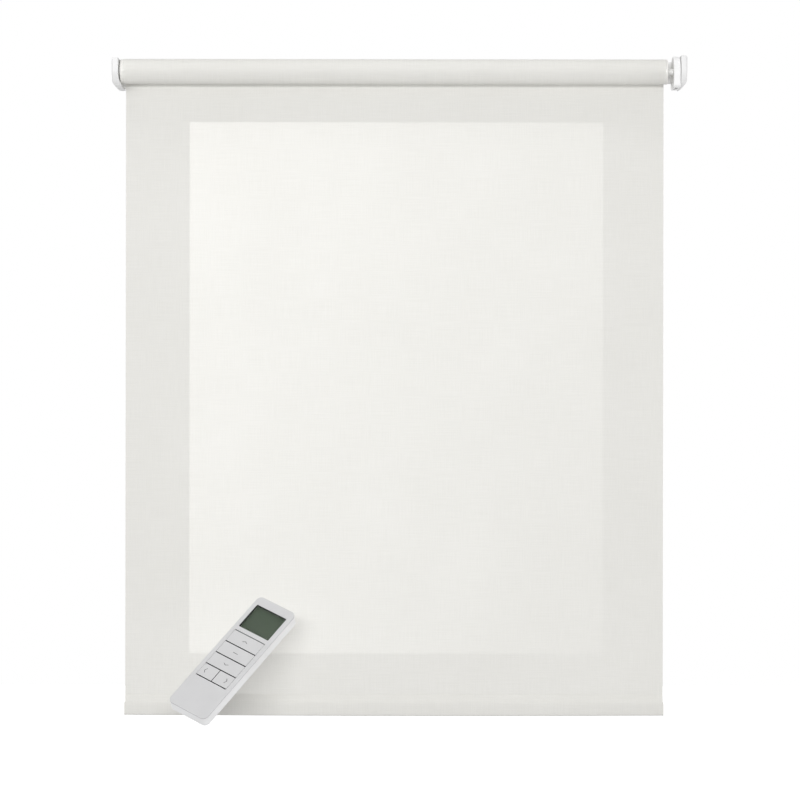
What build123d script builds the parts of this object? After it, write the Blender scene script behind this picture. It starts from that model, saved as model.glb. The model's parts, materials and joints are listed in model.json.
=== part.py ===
from build123d import *
import math
import os

# Motorized roller blind for a face-fixed window, with its radio handset.
# Millimetres. X runs along the tube, Y points into the wall, Z is up.
# The origin is on the wall plane at the centre of the four wall screws, level with the tube axis.

# Overall sizes
overall_width = 600.0
left_end = -overall_width / 2
right_end = overall_width / 2
axis_y = -24.0
bracket_front_y = -44.0
bracket_bottom_z = -17.5
bracket_top_left_z = 12.2
bracket_top_right_z = 15.2
cover_depth_left = 6.3
cover_depth_right = 6.2
cover_round_left = 6.0
cover_round_right = 8.0
cover_lip = 3.7
cover_lip_top_z = -4.0
bracket_curve_r = 17.0

# Steel brackets and their clip-on covers
plate_t = 1.5
plate_lift = 1.2
plate_recess_left = 0.1
plate_recess_right = 0.1
cover_wall = 1.3
cover_skin = 1.9
cover_edge_left_r = 1.2
cover_edge_right_r = 2.2
front_corner_r = 2.4
cover_plate_gap = 0.25
wall_flange_w = 19.0
wall_flange_low_left_z = -15.6
wall_flange_low_right_z = -9.4
flange_corner_r = 3.0
wall_hole_r = 2.4
wall_hole_in = 19.0
wall_hole_x = right_end - wall_hole_in
wall_hole_z = 5.0
bend_r = 1.0
peg_r = 1.5
peg_gap = 0.05
peg_y_front = -37.0
peg_y_back = -9.0
peg_z = 6.0

# Roller tube and fabric
tube_r = 12.5
tube_wall = 1.0
tube_bore_r = tube_r - tube_wall
tube_in_left = 11.1
tube_in_right = 21.0
tube_left = left_end + tube_in_left
tube_right = right_end - tube_in_right
rib_inner_r = 10.6
rib_w = 4.0
groove_mouth_w = 1.4
groove_w = 2.6
groove_lip = 0.5
groove_depth = 0.8
spline_w = 2.3
spline_t = 0.6
spline_gap = 0.05
key_gap = 0.12
fabric_t = 0.4
fabric_roll_r = 13.0
fabric_roll_gap = 0.03
fabric_margin_left = 0.2
fabric_margin_right = 0.5
fabric_left = tube_left + fabric_margin_left
fabric_right = tube_right - fabric_margin_right
fabric_y = axis_y + fabric_roll_r + fabric_t / 2

# Hem
hem_bottom_z = -677.4
hem_height = 22.2
hem_top_z = hem_bottom_z + hem_height
weld_h = 1.2
bar_height = 13.0
bar_t = 4.2
bar_wall = 0.9
bar_end_r = 2.0
pocket_gap = 0.15
bar_inset = 2.0
cap_overhang = 0.8
cap_margin = 0.1
cap_edge_r = 0.4
cap_gap = 0.02
cap_plug_len = 12.0
cap_plug_gap = 0.08

# Idler end, on the left
flange_r = 12.9
plug_flange_in = 7.4
plug_flange_x0 = left_end + plug_flange_in
plug_len = 27.0
plug_sleeve_r = tube_bore_r - 0.08
plug_sleeve_inner_r = 9.6
hub_r = 6.5
web_count = 6
web_t = 1.4
web_sink = 0.4
plug_edge = 0.5
plug_fit = 0.02
pin_r = 3.0
running_gap = 0.05
pin_tip = 4.2
pin_tip_gap = 0.05
pin_tail_r = 2.0
pin_collar_r = 4.9
pin_collar_t = 1.2
chamber_r = 5.0
chamber_front = 7.9
spring_wire_r = 0.4
spring_mean_r = 3.9
spring_turns = 8
plug_cap_t = 2.5
plug_cap_spigot = 1.5
socket_r = 4.98
socket_flange_r = 7.0
socket_flange_t = 0.9
socket_depth = 3.8

# Motor unit, inside the tube at the right
housing_r = 10.2
housing_wall = 0.7
housing_bore_r = housing_r - housing_wall
housing_in = 22.0
end_cap_len = 14.0
end_slack = 7.0
end_cap_flange = 2.0
crown_gap = 0.05
crown_sleeve_len = 14.0
crown_flange_t = 1.8
crown_flange_r = 12.95
turned_edge = 0.3
torque_tube_r = 3.0
torque_tube_bore_r = 2.0
torque_tube_in = 10.0
head_len = 6.9
head_in = 6.7
head_x1 = right_end - head_in
head_x0 = head_x1 - head_len
head_r = 16.0
head_wall = 1.2
head_foot_y0 = axis_y - head_r
head_foot_y1 = -8.0
head_foot_corner_r = 2.5
head_edge_r = 0.8
lid_t = 1.2
spigot = 9.0
spigot_gap = 0.05
spigot_out = 4.4
clip_t = 0.9
clip_groove = 0.6
clip_arm = 1.8

# Charging socket, set button and status light, all in the foot of the motor head
port_y = -26.5
port_w = 8.9
port_h = 3.2
port_mouth_w = 8.4
port_mouth_h = 2.7
port_mouth_lead = 0.5
port_depth = 7.0
port_tongue_t = 0.7
button_y = -18.3
button_r = 1.6
button_gap = 0.08
button_proud = 0.6
button_flange_r = 2.05
button_flange_t = 0.8
button_neck = 0.5
button_travel = 0.5
light_y = -14.7
light_r = 0.7
head_board_t = 0.8
head_board_gap = 0.1
head_board_in = 8.6
head_board_back = 4.6
head_board_top_z = 8.0
switch_w = 3.6
switch_h = 2.6

# What is stacked in the motor housing, from the output end to the end cap, sets how long it is
output_stage_len = 20.0
stage_one_len = 15.0
can_len = 34.0
board_gap = 2.0
board_len = 42.0
cell_count = 2
cell_len = 64.0
cell_gap = 1.0
cells_len = cell_count * (cell_len + cell_gap)
gearmotor_len = output_stage_len + stage_one_len + can_len
housing_len = gearmotor_len + board_gap + board_len + cells_len + end_slack + end_cap_len
housing_right = right_end - housing_in
housing_left = housing_right - housing_len

# Output stage of the motor's gearing: the ring is fixed, the sun drives and the carrier turns the tube
gear_module = 0.45
sun_teeth = 12
planet_teeth = 12
ring_teeth = sun_teeth + 2 * planet_teeth
planet_count = 3
pressure_angle = math.radians(25)
tooth_backlash = 0.035
planet_orbit_r = gear_module * (sun_teeth + planet_teeth) / 2
planet_face = 7.0
planet_x0 = housing_left + 10.0
ring_x0 = housing_left + 9.6
ring_x1 = housing_left + 19.4
face_gap = 0.4
carrier_t = 4.0
carrier_r = 8.6
planet_pin_r = 1.0
sun_shaft_r = 1.2
output_shaft_r = 3.0
output_shaft_flat = 2.5
bearing_t = 4.5
stage_one_x0 = housing_left + output_stage_len
sun_shaft_in = 6.0
can_r = 8.4
can_flat = 7.2
boss_on_can_r = 3.0
boss_on_can_t = 1.6
board_w = 16.0
board_t = 1.2
chips = ((4.0, 10.0, 7.0, 1.2), (17.0, 6.0, 6.0, 1.0), (26.0, 5.0, 9.0, 2.2), (34.0, 5.0, 4.0, 3.0))
cell_r = 9.0
cell_button_r = 3.0
cell_button_t = 0.6
drive_len = 12.0
drive_x0 = housing_left - drive_len - 2.0
drive_r = tube_bore_r - 0.1
wheel_pocket = 4.0
wheel_rim = 1.6
wheel_hub_r = 5.0
spoke_t = 1.4
spoke_sink = 1.0
screw_bore_r = 1.25
screw_bore_depth = 8.0
screw_head_drive_r = 4.2
screw_head_drive_t = 2.35

# Handset, in its own frame: u across, v along, w out of the face
remote_w = 48.0
remote_l = 157.0
remote_t = 14.0
remote_in = 130.6
remote_out = 80.0
remote_up = 64.9
remote_centre = (left_end + remote_in, -remote_out, hem_bottom_z + remote_up)
remote_across = (0.822, -0.437, -0.365)
remote_face = (-0.082, -0.725, 0.684)
remote_corner_r = 6.0
remote_wall = 1.6
lip_t = 1.2
lip_h = 1.6
lip_gap = 0.1
fascia_t = 1.8
parting_gap = 0.15
face_edge_r = 0.5
back_edge_r = 2.0
window_w = 38.2
window_h = 32.8
window_from_top = 10.7
window_v = remote_l / 2 - window_from_top - window_h / 2
window_seat = 1.0
window_sunk = 0.3
lens_t = 0.8
lens_gap = 0.1
display_top_w = 3.7
display_margin = 0.5
key_w = 38.2
key_from_window = 5.5
key_first_slot_v = window_v - window_h / 2 - key_from_window
key_pitch = 16.6
key_slot = 1.1
key_side_gap = 0.2
key_split = 0.6
key_edge_r = 0.25
key_post_r = 2.0
key_proud = 0.15
key_flange_t = 0.7
key_travel = 0.7
key_corner_r = 0.6
mark_depth = 0.3
mark_line = 0.6
mark_reach = 2.6
mark_rise = 1.5
mark_shift_left = -3.9
mark_shift_right = 3.4
board_top_w = 1.8
remote_board_t = 1.2
membrane_t = 1.0
dome_r = 3.0
dome_h = 0.3
door_w = 30.0
door_len = 40.5
door_v1 = -remote_l / 2 + door_len
door_t = 1.4
door_gap = 0.1
door_rail = 1.0
door_rail_t = 0.6
door_tongue = 4.0
door_ridges = 5
door_ridge_pitch = 2.0
coin_r = 12.25
coin_t = 5.0
coin_from_foot = 21.5
coin_v = -remote_l / 2 + coin_from_foot
strap_w = 8.0
strap_t = 0.4
boss_in = 5.0
boss_end = 7.1
boss_u = remote_w / 2 - boss_in
boss_v = remote_l / 2 - boss_end
boss_r = 2.2
screw_r = 1.0
screw_head_r = 1.9
screw_head_t = 1.1
screw_cross = 2.4
screw_cross_w = 0.5


def rod(x0, x1, r, y=axis_y, z=0.0):
    length = x1 - x0
    return Pos((x0 + x1) / 2, y, z) * Rot(0, 90, 0) * Cylinder(r, length)


def block(x0, x1, y0, y1, z0, z1):
    size = Box(x1 - x0, y1 - y0, z1 - z0)
    return Pos((x0 + x1) / 2, (y0 + y1) / 2, (z0 + z1) / 2) * size


def prism_x(x0, x1, face):
    """Pushes a face drawn in Y and Z from x0 to x1."""
    return extrude(Plane.YZ.offset(x0) * face, amount=x1 - x0)


def side_outline(inset, top_z, back_y, lift=0.0):
    """The bracket's side view: flat top, upright front, and one big curve under it back to the wall."""
    front = bracket_front_y + inset
    top = top_z - inset
    bottom = bracket_bottom_z + inset + lift
    curve = bracket_curve_r - inset
    corner = max(front_corner_r - inset, 0.6)
    line = Polyline(
        (back_y, bottom),
        (back_y, top),
        (front, top),
        (front, bottom),
        close=True,
    )
    face = make_face(line)
    low = face.vertices().sort_by_distance((front, bottom, 0))[0]
    face = fillet(low, curve)
    high = face.vertices().sort_by_distance((front, top, 0))[0]
    return fillet(high, corner)


def bracket(side, top_z, low_z, plate_in, plate_out):
    """Side plate with a wall flange bent inward. side is -1 on the left and 1 on the right."""
    low_x = min(plate_in, plate_out)
    high_x = max(plate_in, plate_out)
    inset = cover_wall + cover_plate_gap
    plate = prism_x(low_x, high_x, side_outline(inset, top_z, 0.0, plate_lift))
    flange_end = plate_in - side * wall_flange_w
    x0 = min(flange_end, plate_out)
    x1 = max(flange_end, plate_out)
    flange = block(x0, x1, -plate_t, 0, low_z, top_z - inset)
    body = plate + flange
    inner = body.edges().filter_by(Axis.Z).sort_by_distance((plate_in, -plate_t, 0))[0]
    body = fillet(inner, bend_r)
    corners = body.edges().filter_by(Axis.Y).group_by(Axis.X)
    far = corners[0] if side > 0 else corners[-1]
    body = fillet(far, flange_corner_r)
    for z in (-wall_hole_z, wall_hole_z):
        hole = Pos(side * wall_hole_x, -plate_t / 2, z) * Rot(90, 0, 0) * Cylinder(wall_hole_r, 4)
        body -= hole
    for y in (peg_y_front, peg_y_back):
        body -= rod(low_x - 1, high_x + 1, peg_r + peg_gap, y, peg_z)
    return body


def bracket_left():
    inner = left_end + cover_depth_left - plate_recess_left
    body = bracket(-1, bracket_top_left_z, wall_flange_low_left_z, inner, inner - plate_t)
    return body - rod(inner - 3, inner + 1, socket_r + plug_fit)


def bracket_right():
    inner = right_end - cover_depth_right + plate_recess_right
    body = bracket(1, bracket_top_right_z, wall_flange_low_right_z, inner, inner + plate_t)
    half = spigot / 2 + spigot_gap
    slot = block(inner - 1, inner + 3, axis_y - half, axis_y + half, -half, half)
    return body - slot


def front_view(outer_x, low_z, top_z, side, corner_r):
    """A block over the bracket's whole depth, its lower outer corner rounded as seen from the front."""
    width = 2 * corner_r + cover_lip
    height = top_z - low_z
    face = Pos(outer_x - side * width / 2, low_z + height / 2) * Rectangle(width, height)
    corner = face.vertices().sort_by_distance((outer_x, low_z, 0))[0]
    face = fillet(corner, corner_r)
    return extrude(Plane.XZ.offset(-1) * face, amount=2 - bracket_front_y)


def cover(side, top_z, depth, edge_r, round_r, lip):
    """A moulded shell over the bracket's side plate, open toward the roll and the wall."""
    end = side * overall_width / 2
    rim = end - side * depth
    mouth = rim - side * lip
    x0 = min(end, mouth)
    x1 = max(end, mouth)
    body = prism_x(x0, x1, side_outline(0.0, top_z, -0.3))
    edges = body.edges().filter_by(Plane.YZ).group_by(Axis.X)
    outer = edges[-1] if side > 0 else edges[0]
    soft = [e for e in outer if e.center().Y < -0.5]
    body = fillet(soft, edge_r)
    body &= front_view(end, bracket_bottom_z, top_z + 1, side, round_r)
    skin = end - side * cover_skin
    c0 = min(skin, mouth - side * 1.0)
    c1 = max(skin, mouth - side * 1.0)
    hollow = prism_x(c0, c1, side_outline(cover_wall, top_z, 2.0))
    low = bracket_bottom_z + cover_wall
    body -= hollow & front_view(skin, low, top_z, side, round_r - cover_skin)
    if lip:
        body -= lip_cut(side, top_z, rim, mouth)
    for y in (peg_y_front, peg_y_back):
        tip = rim + side * 0.4
        body += rod(min(skin, tip), max(skin, tip), peg_r, y, peg_z)
    return body


def lip_cut(side, top_z, rim, mouth):
    """What is cut from a cover so that only its underside reaches on to the mouth."""
    low = bracket_bottom_z - 0.1
    middle = (rim + (mouth - rim) * 0.32, (cover_lip_top_z + low) / 2)
    curve = ThreePointArc((rim, cover_lip_top_z), middle, (mouth, low))
    beyond = mouth - side * 2.0
    high = top_z + 2
    rest = Polyline((mouth, low), (beyond, low), (beyond, high), (rim, high), (rim, cover_lip_top_z))
    face = make_face(curve + rest)
    return extrude(Plane.XZ.offset(-1) * face, amount=2 - bracket_front_y)


def cover_left():
    return cover(-1, bracket_top_left_z, cover_depth_left, cover_edge_left_r, cover_round_left, cover_lip)


def cover_right():
    return cover(1, bracket_top_right_z, cover_depth_right, cover_edge_right_r, cover_round_right, 0.0)


def key_notch(x0, x1):
    """What a plug in the tube is cut by, to pass the rib under the fabric groove."""
    half = rib_w / 2 + key_gap
    return block(x0, x1, axis_y - half, axis_y + half, rib_inner_r - key_gap, tube_r)


def roller_tube():
    body = rod(tube_left, tube_right, tube_r)
    body -= rod(tube_left - 1, tube_right + 1, tube_bore_r)
    rib = block(tube_left, tube_right, axis_y - rib_w / 2, axis_y + rib_w / 2, rib_inner_r, tube_r - 0.3)
    body += rib
    half = groove_w / 2
    roof = tube_r - groove_lip
    body -= block(tube_left - 1, tube_right + 1, axis_y - half, axis_y + half, roof - groove_depth, roof)
    mouth = groove_mouth_w / 2
    body -= block(tube_left - 1, tube_right + 1, axis_y - mouth, axis_y + mouth, roof - 0.1, tube_r + 1)
    return body


def fabric_spline():
    """The strip that holds the fabric's top edge in the tube's groove."""
    z0 = tube_r - groove_lip - groove_depth + spline_gap
    half = spline_w / 2
    return block(fabric_left, fabric_right, axis_y - half, axis_y + half, z0, z0 + spline_t)


def fabric_roll():
    body = rod(fabric_left, fabric_right, fabric_roll_r)
    return body - rod(fabric_left - 1, fabric_right + 1, tube_r + fabric_roll_gap)


def fabric_panel():
    half = fabric_t / 2
    return block(fabric_left, fabric_right, fabric_y - half, fabric_y + half, hem_top_z, 0)


def bar_face(grow):
    """Cross-section of the hem bar, in Y and Z about its centre."""
    face = Rectangle(bar_t + 2 * grow, bar_height + 2 * grow)
    return fillet(face.vertices(), bar_end_r + grow - 0.01)


def bar_centre_z():
    return hem_bottom_z + fabric_t + pocket_gap + bar_height / 2


def hem_bar():
    face = Pos(fabric_y, bar_centre_z()) * (bar_face(0) - bar_face(-bar_wall))
    return prism_x(fabric_left + bar_inset, fabric_right - bar_inset, face)


def shoulder_z():
    return bar_centre_z() + bar_height / 2 - 1.5


def shoulder_half():
    return bar_t / 2 + fabric_t + pocket_gap - 0.4


def pocket_outline():
    """Outside of the fabric pocket: the bar's shape with a long neck up to the weld line."""
    loop = Pos(fabric_y, bar_centre_z()) * bar_face(fabric_t + pocket_gap)
    wide = shoulder_half()
    neck = make_face(
        Polyline(
            (fabric_y - fabric_t, hem_top_z),
            (fabric_y + fabric_t, hem_top_z),
            (fabric_y + wide, shoulder_z()),
            (fabric_y - wide, shoulder_z()),
            close=True,
        )
    )
    return loop + neck


def pocket_hollow():
    """Inside of the pocket: the bar with its gap, and the wedge of air above it up to the weld."""
    loop = Pos(fabric_y, bar_centre_z()) * bar_face(pocket_gap)
    wide = shoulder_half() - fabric_t
    wedge = make_face(
        Polyline(
            (fabric_y, hem_top_z - weld_h),
            (fabric_y + wide, shoulder_z()),
            (fabric_y - wide, shoulder_z()),
            close=True,
        )
    )
    return loop + wedge


def hem_pocket():
    body = prism_x(fabric_left, fabric_right, pocket_outline())
    return body - prism_x(fabric_left - 1, fabric_right + 1, pocket_hollow())


def hem_cap(side):
    """End plate of the hem bar with a plug that fits the bar's hollow."""
    edge = fabric_right if side > 0 else fabric_left
    inner = edge + side * cap_gap
    outer = edge + side * (cap_overhang + cap_gap)
    cover_face = Pos(fabric_y, bar_centre_z()) * bar_face(fabric_t + pocket_gap + cap_margin)
    plate = prism_x(min(inner, outer), max(inner, outer), cover_face)
    plate = fillet(plate.faces().sort_by(Axis.X)[-1 if side > 0 else 0].edges(), cap_edge_r)
    bar_end = edge - side * bar_inset
    face = Pos(fabric_y, bar_centre_z()) * bar_face(0)
    pad = prism_x(min(inner, bar_end), max(inner, bar_end), face)
    plug_face = Pos(fabric_y, bar_centre_z()) * bar_face(-bar_wall - cap_plug_gap)
    plug_end = bar_end - side * cap_plug_len
    plug = prism_x(min(bar_end, plug_end), max(bar_end, plug_end), plug_face)
    return plate + pad + plug


def idler_socket():
    """Bush in the left bracket with the square hole that stops the pin from turning."""
    plate_inner = left_end + cover_depth_left - plate_recess_left
    body = rod(plate_inner - socket_depth, plate_inner, socket_r)
    body += rod(plate_inner, plate_inner + socket_flange_t, socket_flange_r)
    half = pin_tip / 2 + pin_tip_gap
    floor = plate_inner - socket_depth + 0.5
    return body - block(floor, plate_inner + 2, axis_y - half, axis_y + half, -half, half)


def chamber_x0():
    return plug_flange_x0 + chamber_front


def plug_x1():
    return tube_left + plug_len


def idler_plug():
    body = rod(plug_flange_x0, tube_left, flange_r)
    body = chamfer(body.edges().filter_by(GeomType.CIRCLE).group_by(Axis.X)[0], plug_edge)
    sleeve = rod(tube_left, plug_x1(), plug_sleeve_r)
    sleeve -= rod(tube_left, plug_x1() + 1, plug_sleeve_inner_r)
    hub = rod(tube_left, plug_x1(), hub_r)
    webs = []
    reach = plug_sleeve_inner_r - hub_r + 2 * web_sink
    for k in range(web_count):
        turn = 30 + 360 * k / web_count
        web = Pos((tube_left + plug_x1()) / 2, 0, hub_r - web_sink + reach / 2) * Box(plug_len, web_t, reach)
        webs.append(Pos(0, axis_y, 0) * Rot(turn, 0, 0) * web)
    body = body + sleeve + hub + webs
    body -= key_notch(tube_left, plug_x1() + 1)
    body -= rod(plug_flange_x0 - 1, chamber_x0() + 1, pin_r + running_gap)
    return body - rod(chamber_x0(), plug_x1() + 1, chamber_r)


def plug_cap():
    body = rod(plug_x1(), plug_x1() + plug_cap_t, hub_r)
    body += rod(plug_x1() - plug_cap_spigot, plug_x1(), chamber_r - plug_fit)
    return body - rod(plug_x1() - 3, plug_x1() + 4, pin_tail_r + running_gap)


def idler_pin():
    """Square tip for the bracket, round journal for the plug, collar for the spring and a guided tail."""
    plate_inner = left_end + cover_depth_left - plate_recess_left
    tip_end = plate_inner - socket_depth + 0.8
    journal_x0 = plate_inner + socket_flange_t + 0.1
    half = pin_tip / 2
    body = block(tip_end, journal_x0 + 0.5, axis_y - half, axis_y + half, -half, half)
    tip = body.edges().group_by(Axis.X)[0]
    body = chamfer(tip, plug_edge)
    body += rod(journal_x0, chamber_x0(), pin_r)
    body += rod(chamber_x0(), chamber_x0() + pin_collar_t, pin_collar_r)
    return body + rod(chamber_x0() + pin_collar_t, plug_x1() + plug_cap_t + 2.5, pin_tail_r)


def idler_spring():
    x0 = chamber_x0() + pin_collar_t + spring_wire_r
    x1 = plug_x1() - plug_cap_spigot - spring_wire_r
    pitch = (x1 - x0) / spring_turns
    path = Helix(pitch=pitch, height=x1 - x0, radius=spring_mean_r)
    start = Plane(origin=path @ 0, z_dir=path % 0)
    wire = sweep(start * Circle(spring_wire_r), path=path, is_frenet=True)
    return Pos(x0, axis_y, 0) * Rot(0, 90, 0) * wire


def motor_housing():
    body = rod(housing_left, housing_right, housing_r)
    return body - rod(housing_left - 1, housing_right + 1, housing_bore_r)


def motor_end_cap():
    body = rod(housing_right - end_cap_len, housing_right, housing_bore_r)
    body += rod(housing_right, housing_right + end_cap_flange, housing_r)
    edge = body.edges().filter_by(GeomType.CIRCLE).group_by(Axis.X)[-1]
    body = chamfer(edge, turned_edge)
    return body - rod(housing_right - end_cap_len - 1, housing_right + 4, torque_tube_r)


def motor_crown():
    """Ring that carries the tube's right end and turns on the motor housing."""
    bore = housing_r + crown_gap
    body = rod(tube_right - crown_sleeve_len, tube_right, tube_bore_r - 0.08)
    body += rod(tube_right, tube_right + crown_flange_t, crown_flange_r)
    edge = body.edges().filter_by(GeomType.CIRCLE).group_by(Axis.X)[-1]
    body = chamfer(edge, turned_edge)
    body -= key_notch(tube_right - crown_sleeve_len - 1, tube_right)
    return body - rod(tube_right - crown_sleeve_len - 1, tube_right + 4, bore)


def torque_tube():
    """The neck between tube and head. It holds the motor still and leads its wires out."""
    x0 = housing_right + end_cap_flange - torque_tube_in
    x1 = head_x0 + head_wall + 2.0
    body = rod(x0, x1, torque_tube_r)
    return body - rod(x0 - 1, x1 + 1, torque_tube_bore_r)


def head_outline(inset):
    round_part = Pos(axis_y, 0) * Circle(head_r - inset)
    foot_w = head_foot_y1 - head_foot_y0 - 2 * inset
    foot_h = -bracket_bottom_z - inset
    foot = Rectangle(foot_w, foot_h)
    foot = fillet(foot.vertices().group_by(Axis.Y)[0], head_foot_corner_r - inset)
    foot = Pos((head_foot_y0 + head_foot_y1) / 2, -foot_h / 2) * foot
    return round_part + foot


def motor_head():
    body = prism_x(head_x0, head_x1 - lid_t, head_outline(0))
    front = body.faces().sort_by(Axis.X)[0].edges()
    body = fillet(front, head_edge_r)
    body -= prism_x(head_x0 + head_wall, head_x1, head_outline(head_wall))
    body -= rod(head_x0 - 1, head_x0 + 3, torque_tube_r)
    mouth_w = port_mouth_w + port_mouth_lead
    mouth_h = port_mouth_h + port_mouth_lead
    body -= Pos(port_x(), port_y, bracket_bottom_z) * port_shape(mouth_w, mouth_h, 6)
    body -= Pos(button_x(), button_y, bracket_bottom_z) * Cylinder(button_r + button_gap, 6)
    return body - Pos(button_x(), light_y, bracket_bottom_z) * Cylinder(light_r, 6)


def head_lid():
    """Back of the motor head with the square spigot that hooks into the right bracket."""
    body = prism_x(head_x1 - lid_t, head_x1, head_outline(0))
    half = spigot / 2
    post = block(head_x1, head_x1 + spigot_out, axis_y - half, axis_y + half, -half, half)
    clip_x = right_end - cover_depth_right + plate_recess_right + plate_t
    for side in (-1, 1):
        edge = axis_y + side * half
        cut = axis_y + side * (half - clip_groove)
        post -= block(clip_x, clip_x + clip_t + 0.1, min(edge, cut), max(edge, cut), -half, half)
    return body + post


def head_clip():
    """Spring-steel fork pushed onto the spigot behind the bracket."""
    x0 = right_end - cover_depth_right + plate_recess_right + plate_t
    half = spigot / 2 - clip_groove
    wide = spigot / 2 + clip_arm
    body = block(x0, x0 + clip_t, axis_y - wide, axis_y + wide, -spigot / 2, spigot / 2 + clip_arm)
    return body - block(x0 - 1, x0 + 2, axis_y - half, axis_y + half, -spigot, spigot / 2)


def port_shape(width, height, depth):
    """Rounded slot of a charging socket, its long side along Y and its mouth down."""
    face = Rectangle(height, width)
    face = fillet(face.vertices(), height / 2 - 0.05)
    return Pos(0, 0, -depth / 2) * extrude(face, amount=depth)


def port_x():
    return head_x0 + head_wall + head_board_gap + head_board_t + port_h / 2 + 0.1


def charge_port():
    z0 = bracket_bottom_z + head_wall
    shell = Pos(port_x(), port_y, z0 + port_depth / 2) * port_shape(port_w, port_h, port_depth)
    bore_depth = port_depth - 1.0
    bore = Pos(port_x(), port_y, z0 + bore_depth / 2) * port_shape(port_mouth_w, port_mouth_h, bore_depth)
    tongue_half = port_mouth_w / 2 - 0.9
    tongue = block(
        port_x() - port_tongue_t / 2,
        port_x() + port_tongue_t / 2,
        port_y - tongue_half,
        port_y + tongue_half,
        z0 + 1.0,
        z0 + port_depth - 0.5,
    )
    return shell - bore + tongue


def button_x():
    return (head_x0 + head_wall + head_x1 - lid_t) / 2


def button_top_z():
    return bracket_bottom_z + head_wall + button_flange_t + button_neck


def set_button():
    z0 = bracket_bottom_z - button_proud
    z1 = bracket_bottom_z + head_wall
    stem_top = button_top_z()
    stem = Pos(button_x(), button_y, (z0 + stem_top) / 2) * Cylinder(button_r, stem_top - z0)
    bottom = stem.edges().group_by(Axis.Z)[0]
    stem = fillet(bottom, 0.3)
    flange = Pos(button_x(), button_y, z1 + 0.02 + button_flange_t / 2) * Cylinder(
        button_flange_r, button_flange_t
    )
    return stem + flange


def status_light():
    z0 = bracket_bottom_z
    z1 = bracket_bottom_z + head_wall + 2.0
    pipe = Pos(button_x(), light_y, (z0 + z1) / 2) * Cylinder(light_r, z1 - z0)
    return pipe + Pos(button_x(), light_y, z1) * Cylinder(light_r + 0.25, 1.0)


def head_board():
    """Small board in the motor head with the set button's switch on it."""
    x0 = head_x0 + head_wall + head_board_gap
    x1 = x0 + head_board_t
    low = bracket_bottom_z + head_wall + 2.6
    y0 = head_foot_y0 + head_board_in
    y1 = head_foot_y1 - head_board_back
    body = block(x0, x1, y0, y1, low, head_board_top_z)
    body -= rod(x0 - 1, x0 + 2, torque_tube_r + 0.3)
    switch_z = button_top_z() + button_travel + 0.1
    half = switch_w / 2
    far = button_x() + half
    return body + block(x1, far, button_y - half, button_y + half, switch_z, switch_z + switch_h)


def involute(angle):
    return math.tan(angle) - angle


def tooth_half_angle(radius, teeth, extra):
    """Half of a tooth's angle at a radius; extra is added to its thickness on each flank, in mm."""
    pitch_r = gear_module * teeth / 2
    base_r = pitch_r * math.cos(pressure_angle)
    at = math.acos(min(1.0, base_r / radius)) if radius > base_r else 0.0
    return math.pi / (2 * teeth) + extra / pitch_r + involute(pressure_angle) - involute(at)


def gear_points(teeth, inner_r, outer_r, extra, steps=4):
    """Outline of a gear wheel with a tooth centred on the first axis."""
    points = []
    radii = [inner_r + (outer_r - inner_r) * k / steps for k in range(steps + 1)]
    for tooth in range(teeth):
        centre = 2 * math.pi * tooth / teeth
        for radius in radii:
            half = tooth_half_angle(radius, teeth, extra)
            points.append((radius * math.cos(centre - half), radius * math.sin(centre - half)))
        for radius in reversed(radii):
            half = tooth_half_angle(radius, teeth, extra)
            points.append((radius * math.cos(centre + half), radius * math.sin(centre + half)))
    return points


def gear_face(teeth):
    pitch_r = gear_module * teeth / 2
    points = gear_points(teeth, pitch_r - 1.15 * gear_module, pitch_r + 0.92 * gear_module, -tooth_backlash)
    return make_face(Polyline(*points, close=True))


def sun_gear():
    x1 = stage_one_x0 + sun_shaft_in
    gear = prism_x(planet_x0 - 0.2, planet_x0 + planet_face + 1.0, gear_face(sun_teeth))
    gear = Pos(0, axis_y, 0) * gear
    return gear + rod(planet_x0 + planet_face, x1, sun_shaft_r)


def planet_centre(index):
    turn = 2 * math.pi * index / planet_count
    return axis_y + planet_orbit_r * math.cos(turn), planet_orbit_r * math.sin(turn)


def planet_gear(index):
    y, z = planet_centre(index)
    face = Rot(0, 0, 180 / planet_teeth) * gear_face(planet_teeth)
    gear = prism_x(planet_x0, planet_x0 + planet_face, face)
    gear = Pos(0, y, z) * gear
    return gear - rod(planet_x0 - 1, planet_x0 + planet_face + 1, planet_pin_r + running_gap, y, z)


def ring_gear():
    """Fixed ring with inward teeth; its hollow is cut as the outline of a wheel of the same size."""
    pitch_r = gear_module * ring_teeth / 2
    inner_r = pitch_r - 0.85 * gear_module
    outer_r = pitch_r + 1.15 * gear_module
    hollow = make_face(Polyline(*gear_points(ring_teeth, inner_r, outer_r, tooth_backlash), close=True))
    hollow = Rot(0, 0, 180 / ring_teeth) * hollow
    cut = Pos(0, axis_y, 0) * prism_x(ring_x0 - 1, ring_x1 + 1, hollow)
    return rod(ring_x0, ring_x1, housing_bore_r) - cut


def carrier():
    """Planet carrier in one piece with the motor's output shaft."""
    disc_x1 = planet_x0 - face_gap
    disc_x0 = disc_x1 - carrier_t
    body = rod(disc_x0, disc_x1, carrier_r)
    for index in range(planet_count):
        y, z = planet_centre(index)
        body += rod(disc_x1, planet_x0 + planet_face + 0.3, planet_pin_r, y, z)
    shaft = rod(drive_x0, disc_x0, output_shaft_r)
    for side in (-1, 1):
        near = side * output_shaft_flat
        far = side * (output_shaft_r + 1)
        z0 = min(near, far)
        z1 = max(near, far)
        shaft -= block(drive_x0 - 1, drive_x0 + drive_len, axis_y - 4, axis_y + 4, z0, z1)
    shaft -= rod(drive_x0 - 1, drive_x0 + screw_bore_depth, screw_bore_r)
    return body + shaft


def output_bearing():
    body = rod(housing_left, housing_left + bearing_t, housing_bore_r)
    return body - rod(housing_left - 1, housing_left + bearing_t + 1, output_shaft_r + running_gap)


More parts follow.
